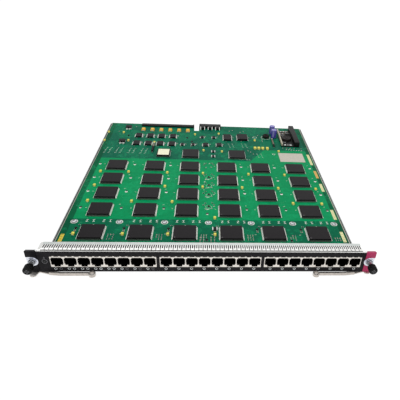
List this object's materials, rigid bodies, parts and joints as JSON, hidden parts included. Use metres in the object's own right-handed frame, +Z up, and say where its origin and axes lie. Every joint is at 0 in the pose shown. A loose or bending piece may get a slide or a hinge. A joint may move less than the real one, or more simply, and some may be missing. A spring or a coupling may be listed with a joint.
{
  "type": "switch line card",
  "caption": "Network switch line card: a shallow metal tray with a chip-covered board behind a black face of modular jacks, with ejector levers and captive screws.",
  "frame": {"origin": "middle of the card's footprint, on the underside of the tray", "axes": "+Z up from the tray to the component side, +Y from the face to the backplane end, +X to the right seen from the face"},
  "size_m": [0.3822, 0.4284, 0.0316],
  "materials": {
    "galvanised_tray": "satin zinc-plated sheet",
    "plated_panel": "bright plated sheet",
    "black_bezel": "satin black paint",
    "black_cap": "satin black",
    "magenta_cap": "satin magenta",
    "bright_strip": "bright plated spring strip",
    "tinned_shield": "tinned sheet",
    "black_housing": "matte black",
    "light_guide": "clear moulded",
    "plated_bushing": "bright plated",
    "plated_screw": "plated steel",
    "black_knob": "fluted black",
    "spring_steel": "spring wire",
    "zinc_lever": "plated stamping",
    "green_board": "green solder mask",
    "black_package": "moulded black",
    "pale_package": "blank cream top",
    "yellow_block": "moulded yellow",
    "orange_block": "moulded orange",
    "tinned_lead": "tinned",
    "violet_can": "violet sleeve",
    "dark_core": "dark ferrite",
    "converter_base": "dark laminate",
    "beige_frame": "beige moulding",
    "black_connector": "moulded black",
    "fuse_body": "tan tube",
    "label_stock": "blank paper"
  },
  "bodies": {
    "card": {"carrier_tray": "galvanised_tray", "front_panel": "plated_panel", "face_bezel": "black_bezel", "left_end_cap": "black_cap", "right_end_cap": "magenta_cap", "grounding_finger_strip": "bright_strip", "port_light_guides": "light_guide", "status_light": "light_guide", "lever_pins": "plated_screw", "main_board": "green_board", "board_screws": "plated_screw", "board_standoffs": "plated_screw", "controller_chips": "black_package", "memory_chip": "pale_package", "bus_drivers": "black_package", "tantalum_capacitors": "yellow_block", "backplane_capacitors": "orange_block", "small_transistors": "black_package", "power_transistors": "black_package", "power_transistor_leads": "tinned_lead", "backplane_connector": "black_connector", "guide_post": "black_connector", "power_connector": "black_connector", "power_pins": "tinned_lead", "converter_board": "converter_base", "converter_frame": "beige_frame", "converter_core": "dark_core", "heat_sink_bar": "black_connector", "bulk_capacitors": "violet_can", "filter_choke": "dark_core", "tubular_fuses": "fuse_body", "blank_labels": "label_stock", "magnetics": "black_package", "jack_shield_1": "tinned_shield", "jack_housing_1": "black_housing", "jack_shield_2": "tinned_shield", "jack_housing_2": "black_housing", "jack_shield_3": "tinned_shield", "jack_housing_3": "black_housing", "port_chip_row_1": "black_package", "port_chip_row_2": "black_package", "port_chip_row_3": "black_package", "port_chip_row_4": "black_package", "port_chip_row_5": "black_package", "left_ferrule": "plated_bushing", "left_spring": "spring_steel", "right_ferrule": "plated_bushing", "right_spring": "spring_steel"},
    "left_lever_body": {"left_lever": "zinc_lever"},
    "left_screw_slide": {"left_retaining_ring": "plated_screw"},
    "left_screw_turn": {"left_screw": "plated_screw", "left_knob": "black_knob"},
    "right_lever_body": {"right_lever": "zinc_lever"},
    "right_screw_slide": {"right_retaining_ring": "plated_screw"},
    "right_screw_turn": {"right_screw": "plated_screw", "right_knob": "black_knob"}
  },
  "joints": [
    {"name": "left_lever_hinge", "type": "hinge", "parent": "card", "child": "left_lever_body", "pos_m": [-0.184, -0.19125, 0.0014], "axis": [0, 0, -1], "range_deg": [0, 75]},
    {"name": "left_screw_push", "type": "slide", "parent": "card", "child": "left_screw_slide", "axis": [0, 1, 0], "range_m": [0, 0.005], "stiffness_N_per_m": 400, "springref_m": -0.004, "deforming": ["left_spring"]},
    {"name": "left_screw_spin", "type": "hinge", "parent": "left_screw_slide", "child": "left_screw_turn", "pos_m": [-0.1854, -0.19725, 0.0165], "axis": [0, 1, 0], "continuous": true},
    {"name": "right_lever_hinge", "type": "hinge", "parent": "card", "child": "right_lever_body", "pos_m": [0.184, -0.19125, 0.0014], "axis": [0, 0, 1], "range_deg": [0, 75]},
    {"name": "right_screw_push", "type": "slide", "parent": "card", "child": "right_screw_slide", "axis": [0, 1, 0], "range_m": [0, 0.005], "stiffness_N_per_m": 400, "springref_m": -0.004, "deforming": ["right_spring"]},
    {"name": "right_screw_spin", "type": "hinge", "parent": "right_screw_slide", "child": "right_screw_turn", "pos_m": [0.1854, -0.19725, 0.0165], "axis": [0, 1, 0], "continuous": true}
  ]
}
